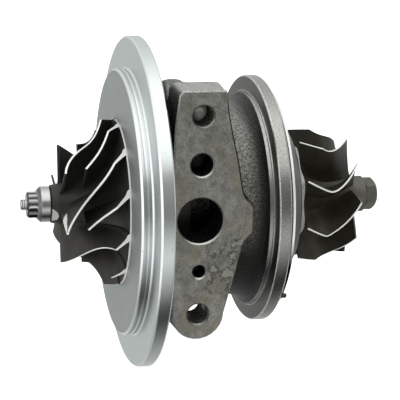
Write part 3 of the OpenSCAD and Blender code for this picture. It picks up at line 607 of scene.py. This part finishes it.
def turbineHub():  # turned hub; past the round nose the radius is that of a hexagon under an end chamfer
    b = turbine
    hubX = b["hubStart"] + (b["hubEnd"] - b["hubStart"]) * np.linspace(0, 1, 36) ** 1.8
    x = np.concatenate([[b["weld"], b["weld"], b["back"], b["back"], b["hubStart"] - 0.4], hubX,
                        np.linspace(b["hubEnd"] + 0.5, b["nose"] - 0.1, 6),
                        np.linspace(b["nose"], b["hex"], 5),
                        np.linspace(b["hex"] + 0.01, b["end"], 24), [b["end"]]])
    r = np.concatenate([[0.0, b["weldR"], b["weldR"] + 0.8, b["discR"] - 0.3, b["discR"]],
                        turbineHubR(hubX), np.full(6, b["noseR"]),
                        np.linspace(b["noseR"], b["flat"] / 2 + 0.25, 5),
                        np.full(24, byFlats), [0.0]])
    angle = np.radians(b["flatAngle"] + 30 + np.arange(0, 360, 1.5))
    hexR = pointedR(angle - np.radians(b["flatAngle"]), b["flat"])
    chamfer = np.maximum(b["flat"] / 2 - 0.7 + (b["end"] - x) * 1.3, 0)
    hexRow = (r == byFlats)[:, None]
    full = np.where(hexRow, np.minimum(hexR[None, :], chamfer[:, None]), r[:, None])
    wave = np.cos(b["blades"] * (angle - np.radians(b["start"] + b["lean"])))
    reach = np.clip(r / b["discR"] * 2.5 - 1.5, 0, 1)[:, None] * ~hexRow  # the disc dips between the blades
    points, faces = ringed(x, full + b["scallop"] * wave * reach, angle)
    midX = points[faces][..., 0].mean(axis=1)
    disc = (midX > b["back"]) & (midX < b["hubStart"] + 0.5)  # its rim is clean, and the nose is paler
    bare = np.where(disc, b["discBare"], b["noseBare"] * np.clip((midX - b["exit"]) / 3, 0, 1))
    return (points, faces), bare


def turbineWheel():
    b = turbine
    shells, flags = zip(turbineHub(), *[turbineBlade(360.0 / b["blades"] * k) for k in range(b["blades"])])
    piece = pieceOf("turbineWheel", *joined(shells), np.concatenate(flags))
    dress(piece, "rotor", "turbine", "turbine_wheel", 0.6)


turbineWheel()


# Bearing housing: cast blanks are fused and softened, then the pad's face, holes and bores are cut

casting = {"voxel": 0.7, "smooth": 3, "padFace": -38.0, "padBack": -24.5, "draft": 0.75, "edge": 0.55,
           "faceDepth": 1.8, "faceEnd": 4.5, "faceSink": 1.2, "lugR": 8.7, "neckR": 34.0, "landX": 40.3,
           "landR": 37.3, "earR": 39.5, "earRound": 7.05, "earMiddle": 12.3, "earFall": 0.056,
           "earStart": 5.6, "earEnd": 15.6, "earAngles": (72, 162, 252), "webFrom": 20.0, "webWidth": 0.85,
           "webStep": 1.4, "boltHoleR": 3.3, "spotSink": 0.2, "spotMargin": 3.0}
padCorners = [(8.1, -28.7, 0), (7.1, 2.9, 2), (7.7, 34, 2), (8.9, 43.9, 0.6), (10.1, 45.3, 0.4),
              (24.2, 45.3, 0.5), (25.4, 37.1, 3), (27.2, 29, 3), (29.2, 21.3, 3), (30.6, 12.8, 3),
              (31.6, 10.3, 2), (34.0, 7.7, 1), (34.5, 6.7, 1), (34.5, -1.9, 1), (32.9, -3, 1),
              (31.2, -5.3, 2), (29.2, -14.2, 3), (25.5, -28.7, 0)]  # x, height above the shaft and rounding
neckRoot = [(5.6, 0.0, 0), (5.6, 34.0, 0.5), (10.4, 34.0, 1), (12.6, 32.0, 3), (21.2, 32.0, 5)]
bores = [(0, 0), (0, 20), (13.2, 20), (13.2, 11.4), (15.8, 11.4), (15.8, 7.04), (26.5, 7.04), (26.5, 11.5),
         (33.5, 11.5), (33.5, 7.04), (44.3, 7.04), (44.3, 8.8), (60, 8.8), (60, 0)]
chamber = {"inner": 11.5, "outer": 25.0, "start": 17.3, "end": 39.5, "from": 146, "to": 394}


def grown(outline, distance):  # closed outline moved out along its own normals
    along = np.roll(outline, -1, axis=0) - np.roll(outline, 1, axis=0)
    normal = np.stack([-along[:, 1], along[:, 0]], axis=-1)
    return outline + normal / np.linalg.norm(normal, axis=1, keepdims=True) * distance


def closed(rows):  # a stack of outlines with each end drawn to its middle, and the faces between them
    ends = [np.broadcast_to(row.mean(axis=0), row.shape) for row in (rows[0], rows[-1])]
    rows = np.stack([ends[0], *rows, ends[1]])
    return rows, gridFaces(len(rows), rows.shape[1], wrapCols=True)


def padShell(depths, growths):  # the pad's outline carried in from its face, grown or shrunk at each depth
    lugR = casting["lugR"]
    arc = np.radians(np.linspace(0, -180, 14))[1:-1]
    lug = np.stack([holeShape["x"] + lugR * np.cos(arc),
                    holes["boltLow"]["z"] + lugR * np.sin(arc)], axis=-1)
    outline = np.concatenate([softened(padCorners), lug])
    outline = outline[np.linalg.norm(outline - np.roll(outline, 1, axis=0), axis=1) > 1e-6]
    rows, faces = closed([grown(outline, growth) for growth in growths])
    depth = np.array([depths[0], *depths, depths[-1]])[:, None]
    points = np.stack([rows[..., 0], np.broadcast_to(depth, rows.shape[:2]), rows[..., 1]], axis=-1)
    return points.reshape(-1, 3), faces


def rod(start, end, spot, radius):  # plain cylinder along the shaft's direction at a spot [y, z]
    points, faces = lathe(np.array([(start, 0), (start, radius), (end, radius), (end, 0)], float), 48)
    return points + np.array([0.0, *spot]), faces


def neckBlank():  # turned blank of the neck, which flares along a quarter circle into the flange's raw land
    c = casting
    turn = np.linspace(0, np.pi / 2, 10)
    flareR = c["landR"] - c["neckR"]
    flare = np.stack([c["landX"] - flareR + flareR * np.sin(turn),
                      c["landR"] - flareR * np.cos(turn)], axis=-1)
    end = [(c["landX"] + 3, c["landR"]), (c["landX"] + 3, 0.0)]
    return lathe(np.concatenate([softened(neckRoot)[:-1], flare, end]))


def earSpots():  # the ears' middles as [y, z]
    angle = np.radians(casting["earAngles"])
    return np.stack([-np.cos(angle), np.sin(angle)], axis=-1) * casting["earR"]


def earBlanks():  # each ear is a dome along the shaft and a web that joins it to the neck
    c = casting
    along = np.linspace(c["earStart"], c["earEnd"], 14)
    dome = c["earRound"] - c["earFall"] * (along - c["earMiddle"]) ** 2
    profile = np.concatenate([[(along[0], 0.0)], np.stack([along, dome], axis=-1), [(along[-1], 0.0)]])
    shells = []
    for spot in earSpots():
        points, faces = lathe(profile, 48)
        shells.append((points + np.array([0.0, *spot]), faces))
        outwards = spot / c["earR"]
        across = np.array([-outwards[1], outwards[0]]) * c["earRound"] * c["webWidth"]
        foot = outwards * c["webFrom"]
        web = np.array([foot - across, foot + across, spot + across, spot - across])
        rows, faces = closed([web, web])
        start, end = c["earStart"], c["earEnd"] - c["webStep"]
        depth = np.array([start, start, end, end])[:, None, None]
        points = np.concatenate([np.broadcast_to(depth, (*rows.shape[:2], 1)), rows], axis=-1)
        shells.append((points.reshape(-1, 3), faces))
    return shells


def baked(piece):  # puts the piece's modifiers into its mesh
    graph = bpy.context.evaluated_depsgraph_get()
    mesh = bpy.data.meshes.new_from_object(piece.evaluated_get(graph))
    piece.modifiers.clear()
    piece.data = mesh


def cut(piece, shell, operation="DIFFERENCE"):  # takes a closed shell away from the piece, or adds it
    tool = pieceOf("cutTool", *shell)
    change = piece.modifiers.new("cut", "BOOLEAN")
    change.operation = operation
    change.solver = "MANIFOLD"
    change.object = tool
    baked(piece)
    bpy.data.objects.remove(tool)


def chamberCore():  # part of a ring round the bearing tube, open to the drain
    c = chamber
    angle = np.radians(np.linspace(c["from"], c["to"], 60))[:, None]
    x = np.array([c["start"], c["end"], c["end"], c["start"]])[None, :]
    r = np.array([c["inner"], c["inner"], c["outer"], c["outer"]])[None, :]
    points, faces = closed(aroundShaft(x, r, angle))
    return points.reshape(-1, 3), faces


def drillHole(hole):  # from the pad's face: chamfer, wall with or without a thread, cone or flat end
    h, depth, pitch = holeShape, hole["depth"], hole.get("pitch", 0.0)
    wide, deep = hole["r"] + h["chamfer"], h["chamferDepth"]
    wall = np.linspace(deep, depth, int(depth * 8) if pitch else 2)
    tip = depth if hole.get("flat") else depth + hole["r"] * h["cone"]
    y = np.concatenate([[-h["above"], -h["above"], 0.0], wall, [tip]])
    r = np.concatenate([[0, wide, wide], np.full(len(wall), hole["r"]), [0.0]])
    angle = np.linspace(0, 2 * np.pi, 64, endpoint=False)
    full = np.repeat(r[:, None], len(angle), axis=1)
    if pitch:
        turn = (wall[:, None] / pitch - angle[None, :] / (2 * np.pi)) % 1
        reach = np.clip(np.minimum(wall - deep, depth - wall) / h["runOut"], 0, 1)[:, None]
        full[3:-1] += h["threadDepth"] * (1 - np.abs(2 * turn - 1)) * reach
    inwards = np.broadcast_to(casting["padFace"] + y[:, None], full.shape)
    points = np.stack([h["x"] + full * np.cos(angle), inwards, hole["z"] + full * np.sin(angle)], axis=-1)
    return points.reshape(-1, 3), gridFaces(len(y), len(angle), wrapCols=True)


def bearingCasting():
    c = casting
    face, edge = c["padFace"], c["edge"]
    padBlank = padShell(np.linspace(face + 1, c["padBack"], 6), np.linspace(0.0, c["draft"], 6))
    padFront = padShell((face, face + edge, face + c["faceDepth"], face + c["faceEnd"]),
                        (-edge, 0.0, 0.0, -c["faceSink"]))  # added after the softening, to stay crisp
    piece = pieceOf("bearingCasting", *joined([neckBlank(), padBlank, *earBlanks()]))
    fuse = piece.modifiers.new("fuse", "REMESH")
    fuse.mode = "VOXEL"
    fuse.voxel_size = c["voxel"] * mm
    soften = piece.modifiers.new("soften", "SMOOTH")
    soften.iterations = c["smooth"]
    baked(piece)
    cut(piece, padFront, "UNION")
    tools = [lathe(np.array(bores, float), 96), chamberCore(), *map(drillHole, holes.values())]
    for spot in earSpots():
        tools.append(rod(0.0, c["earEnd"] + 3, spot, c["boltHoleR"]))
        spotR = c["earRound"] + c["spotMargin"]
        tools.append(rod(c["earEnd"] - c["spotSink"], c["earEnd"] + 6, spot, spotR))
    for tool in tools:
        cut(piece, tool)
    dress(piece, "housing", "casting", "bearing_housing", 0.6)


bearingCasting()


# Turbine end: flange with pilot, heat shield and pin, each a closed outline turned round its axis

flange = {"front": 41.9, "rim": 42.8, "back": 46.3, "pilot": 39.6, "pilotEnd": 48.3, "relief": 0.8,
          "land": 37.4, "landX": 40.3, "core": 43.0, "inner": 34.0, "nose": 54.1, "noseR": 15.0,
          "sealR": 8.8, "dishR": 25.5, "frontEdge": 0.5, "backEdge": 0.6}
shield = {"rim": 36.0, "sheet": 1.0, "seat": 48.3, "face": 54.4, "dishR": 25.5, "hole": 10.4}
pin = {"angle": -39.0, "radius": 41.05, "r": 0.8, "stemR": 0.6, "seat": 46.3, "start": 42.9, "end": 48.7}


def turbineFlange():
    f = flange
    front, back, rim, land, landX = f["front"], f["back"], f["rim"], f["land"], f["landX"]
    reliefX, reliefR = back + f["relief"], f["pilot"] - f["relief"]
    outline = softened([
        (f["core"], f["sealR"], 0.1), (f["core"], f["inner"], 0.1), (landX + 1, land - 1.2, 0.1),
        (landX, land - 0.6, 0.1), (landX, land - 0.15, 0.1), (front - 0.55, land, 0.05),
        (front - 0.4, land + 0.35, 0.05), (front, land + 0.4, 0.05),
        (front, rim - f["frontEdge"], 0.15), (front + f["frontEdge"], rim, 0.15),
        (back - f["backEdge"], rim, 0.2), (back, rim - f["backEdge"], 0.2), (back, reliefR, 0.1),
        (reliefX, reliefR, 0.1), (reliefX, f["pilot"], 0.1),
        (f["pilotEnd"], f["pilot"], 0.3), (f["pilotEnd"], f["dishR"] + 4, 0.3), (back, f["dishR"] + 2, 0.8),
        (back, f["noseR"] + 1, 0.8), (f["nose"], f["noseR"], 0.4), (f["nose"], f["sealR"], 0.3)])
    piece = turned("turbineFlange", outline, 256)
    dress(piece, "housing", "flange", "bearing_housing", 0.35)


def heatShield():
    s = shield
    seat, face, t, dishR = s["seat"], s["face"], s["sheet"], s["dishR"]
    outline = softened([
        (seat, dishR + 4, 0.8), (seat, s["rim"], 0.35), (seat + t, s["rim"], 0.35),
        (seat + t, dishR + 4.6, 1.2), (seat + t + 1, dishR + 2.4, 1.2),
        (face + t - 1, dishR, 1.2), (face + t, dishR - 1, 0.8),
        (face + t, s["hole"], 0.2), (face, s["hole"], 0.2), (face, dishR - 1.6, 0.6),
        (face - 0.6, dishR - t, 0.6), (seat + 1, dishR + 1.4, 0.8)])
    piece = pieceOf("heatShield", *lathe(outline, 192))
    dress(piece, "housing", "shield", "heat_shield", 0.5)


def flangePin():
    p = pin
    a = np.radians(p["angle"])
    outline = softened([
        (p["start"], 0, 0), (p["start"], p["stemR"], 0.1), (p["seat"], p["stemR"], 0.05),
        (p["seat"], p["r"], 0.05), (p["end"] - 0.3, p["r"], 0.2), (p["end"], p["r"] - 0.35, 0.2),
        (p["end"], 0, 0)])
    points, faces = lathe(outline, 32)
    points = points + (0, -p["radius"] * np.cos(a), p["radius"] * np.sin(a))
    piece = pieceOf("flangePin", points, faces)
    dress(piece, "housing", "bolt", "flange_pin")


turbineFlange()
heatShield()
flangePin()


# Shaft, nut and plate bolts

nut = {"start": -34.55, "collar": -30.85, "end": -26.55, "pointR": 4.65, "coneR": (5.0, 5.9),
       "collarR": 6.1, "boreR": 2.52}
shaft = {"tip": -36.55, "tipR": 1.95, "stud": -34.55, "studR": 2.5, "shoulder": 14.8, "shaftR": 4.0,
         "boss": 45.3, "bossR": 8.4, "end": 54.9, "ring": 50.8, "ringW": 1.4, "ringDepth": 1.4, "pitch": 0.8,
         "thread": 0.28}
bolts = {"seat": 15.6, "shankEnd": -1.5, "shankR": 3.0, "washerR": 6.0, "washerT": 1.0, "flat": 9.35,
         "headEnd": 19.8}


def shaftNut():  # twelve points are two hexagons laid over each other, under a chamfer
    n = nut
    start, collar, end, collarR = n["start"], n["collar"], n["end"], n["collarR"]
    angle = np.radians(np.arange(0, 360, 2.5))
    flat = 2 * n["pointR"] * np.cos(np.pi / 6)
    star = np.maximum(pointedR(angle, flat), pointedR(angle + np.pi / 6, flat))
    x = np.concatenate([[start], np.linspace(start, collar - 0.6, 10),
                        [collar - 0.3, collar + 0.6, collar + 0.9, end - 0.6, end - 0.25, end, end]])
    r = np.concatenate([[n["boreR"]], np.full(10, byFlats),
                        [*n["coneR"], collarR, collarR, collarR - 0.15, collarR - 0.5, n["boreR"]]])
    chamfer = n["pointR"] - 0.75 + (x - start) * 1.1
    full = np.where((r == byFlats)[:, None], np.minimum(star[None, :], chamfer[:, None]), r[:, None])
    piece = pieceOf("shaftNut", *ringed(x, full, angle, wrapRows=True))
    dress(piece, "rotor", "nut", "shaft_nut", 0.4)


def rotorShaft():  # turned shaft; the tip's radius follows a screw thread
    s = shaft
    tipX = np.linspace(s["tip"] + 0.3, s["stud"], 16)
    bossR, low, ringEnd = s["bossR"], s["bossR"] - s["ringDepth"], s["ring"] + s["ringW"]
    outline = np.array([(s["tip"], 0), (s["tip"], s["tipR"] - 0.3), *[(x, s["tipR"]) for x in tipX],
                        (s["stud"], s["studR"]), (s["shoulder"], s["studR"]), (s["shoulder"], s["shaftR"]),
                        (s["boss"], s["shaftR"]), (s["boss"], bossR), (s["ring"], bossR), (s["ring"], low),
                        (ringEnd, low), (ringEnd, bossR), (s["end"], bossR), (s["end"], 0)])
    angle = np.linspace(0, 2 * np.pi, 72, endpoint=False)
    full = np.repeat(outline[:, 1:], len(angle), axis=1)
    turn = (tipX[:, None] / s["pitch"] - angle[None, :] / (2 * np.pi)) % 1
    full[2:2 + len(tipX)] -= s["thread"] * np.abs(2 * turn - 1)
    piece = pieceOf("rotorShaft", *ringed(outline[:, 0], full, angle))
    dress(piece, "rotor", "ground", "rotor_shaft", 0.5)


def plateBolts():  # washer-faced hexagon heads with a top chamfer, on plain shanks
    b = bolts
    angle = np.radians(np.arange(0, 360, 5.0))
    seat, head, end = b["seat"], b["seat"] + b["washerT"], b["headEnd"]
    x, r = np.array([(b["shankEnd"], 0), (b["shankEnd"], b["shankR"]), (seat, b["shankR"]),
                     (seat, b["washerR"]), (head - 0.2, b["washerR"]), (head, b["washerR"] - 0.3),
                     (head, byFlats), (end - 0.8, byFlats), (end - 0.4, byFlats), (end, byFlats), (end, 0)]).T
    chamfer = b["flat"] / 2 - 0.4 + (end - x) * 1.7
    hexR = np.minimum(pointedR(angle, b["flat"])[None, :], chamfer[:, None])
    points, faces = ringed(x, np.where((r == byFlats)[:, None], hexR, r[:, None]), angle)
    shells = [(points + np.array([0.0, *spot]), faces) for spot in earSpots()]
    piece = pieceOf("plateBolts", *joined(shells))
    dress(piece, "housing", "bolt", "plate_bolts", 0.4)


shaftNut()
rotorShaft()
plateBolts()


# Inner pieces keep their solids and get a finish

innerFinishes = {"plate_o_ring": "rubber", "thrust_bearing": "bronze", "oil_deflector": "shield",
                 "oil_flinger": "ground", "thrust_collar": "ground", "thrust_washer": "ground",
                 "compressor_seal_ring": "spring", "compressor_journal_bearing": "bronze",
                 "turbine_journal_bearing": "bronze", "bearing_circlips": "spring",
                 "turbine_seal_ring": "spring"}
for node, finish in innerFinishes.items():
    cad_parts[node].data.materials.clear()
    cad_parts[node].data.materials.append(finishes[finish])
print("inner pieces finished:", len(innerFinishes))


# Floor, light and camera; the sky's bands are degrees round the shaft, from the front upwards, and levels

studio = {"floorZ": -56.5, "floorSize": 6.0, "floorGlow": 0.92, "target": (25.874, 0.0, -0.425),
          "distance": 487.53, "azimuth": -14.095, "elevation": 14.894, "roll": 1.734, "lens": 126.0,
          "sensor": 36.0, "skyPower": 1.55, "leftLevel": 0.7, "rightLevel": 0.25,
          "bands": [(-180, 0.42), (-150, 0.42), (-123, 0.31), (-105, 0.26), (-90, 0.13), (-74, 0.03),
                    (-62, 0.06), (-50, 0.22), (-38, 0.38), (-25, 0.6), (-12, 0.43), (3, 0.15),
                    (18, 0.2), (31, 0.26), (43, 0.72), (58, 0.85), (73, 0.93), (88, 0.93), (101, 0.9),
                    (115, 0.74), (129, 0.6), (143, 0.53), (160, 0.47), (180, 0.42)]}
softboxes = {"topBox": ((0.24, -0.45, 0.86), (1.1, 1.0), 0.6),  # place and size in metres, and watts
             "leftBox": ((-0.9, -0.45, 0.3), (0.6, 0.8), 0.3),
             "rightBox": ((0.95, 0.1, 0.25), (0.3, 0.7), 0.2)}


def softbox(name, where, size, power):  # looks at the middle of the object
    light = bpy.data.lights.new(name, "AREA")
    light.shape = "RECTANGLE"
    light.size, light.size_y = size
    light.energy = power
    made = objectOf(name, light)
    made.visible_camera = False
    way = (Vector(studio["target"]) * mm - Vector(where)).to_track_quat("-Z", "Y")
    made.matrix_world = Matrix.Translation(Vector(where)) @ way.to_matrix().to_4x4()


def floor():  # paper that glows a little, so that it stays even and pale
    half = studio["floorSize"] / 2 / mm
    z = studio["floorZ"]
    corners = np.array([(-half, -half, z), (half, -half, z), (half, half, z), (-half, half, z)])
    piece = pieceOf("floor", corners, np.array([[0, 1, 2, 3]]))
    f = Finish("floorPaper", metallic=0.0, roughness=0.9)
    f.set("Base Color", f.noise(40.0).step(0.3, 0.7).mix(grey(0.5), grey(0.53)))
    f.shader.inputs["Emission Color"].default_value = (1, 1, 1, 1)
    f.shader.inputs["Emission Strength"].default_value = studio["floorGlow"]
    piece.data.materials.append(f.material)
    piece.visible_glossy = False  # metal mirrors the sky below it instead, as over a dark bench


def sky():  # white to the camera; the object sees bands of light and shade that run along the shaft
    world = bpy.data.worlds.new("studioSky")
    bpy.context.scene.world = world
    world.use_nodes = True
    tree = world.node_tree
    back = next(n for n in tree.nodes if n.type == "BACKGROUND")
    start = Wire(tree)
    way = start.node("TexCoord", {}, out=0)
    along, depth, upward = [start.node("SeparateXYZ", {0: way}, out=axis) for axis in range(3)]
    turn = start.math("ARCTAN2", upward, depth * -1) * (0.5 / np.pi) + 0.5
    stops = [((angle + 180) / 360, (level * 0.97, level, level * 0.985)) for angle, level in studio["bands"]]
    bands = turn.node("ValToRGB", {0: turn}, {"stops": stops})
    ends = (along * along).step(0.45, 0.75)  # broad light off the compressor's end, shade off the turbine's
    sides = along.step(-0.1, 0.1).mix(grey(studio["leftLevel"]), grey(studio["rightLevel"]))
    bands = ends.mix(bands, sides)
    seen = start.node("LightPath", {})
    tree.links.new(seen.mix(bands, grey(1.0)).socket, back.inputs["Color"])
    tree.links.new((seen * (1 - studio["skyPower"]) + studio["skyPower"]).socket, back.inputs["Strength"])


def camera():  # on a sphere about the target, rolled about its own axis
    az, el, roll = np.radians([studio["azimuth"], studio["elevation"], studio["roll"]])
    back = np.array([np.sin(az) * np.cos(el), -np.cos(az) * np.cos(el), np.sin(el)])
    right = np.array([np.cos(az), np.sin(az), 0.0])
    up = np.cross(back, right)
    turnedRight = right * np.cos(roll) + up * np.sin(roll)
    turnedUp = up * np.cos(roll) - right * np.sin(roll)
    where = (np.array(studio["target"]) + studio["distance"] * back) * mm
    lensData = bpy.data.cameras.new("camera")
    lensData.lens = studio["lens"]
    lensData.sensor_width = studio["sensor"]
    lensData.clip_start = 0.01
    made = objectOf("camera", lensData)
    axes = np.column_stack([turnedRight, turnedUp, back, where])
    made.matrix_world = Matrix(axes.tolist() + [[0, 0, 0, 1]])
    bpy.context.scene.camera = made


floor()
sky()
for name, settings in softboxes.items():
    softbox(name, *settings)
camera()
bpy.context.scene.view_settings.view_transform = "Standard"
print("studio set")
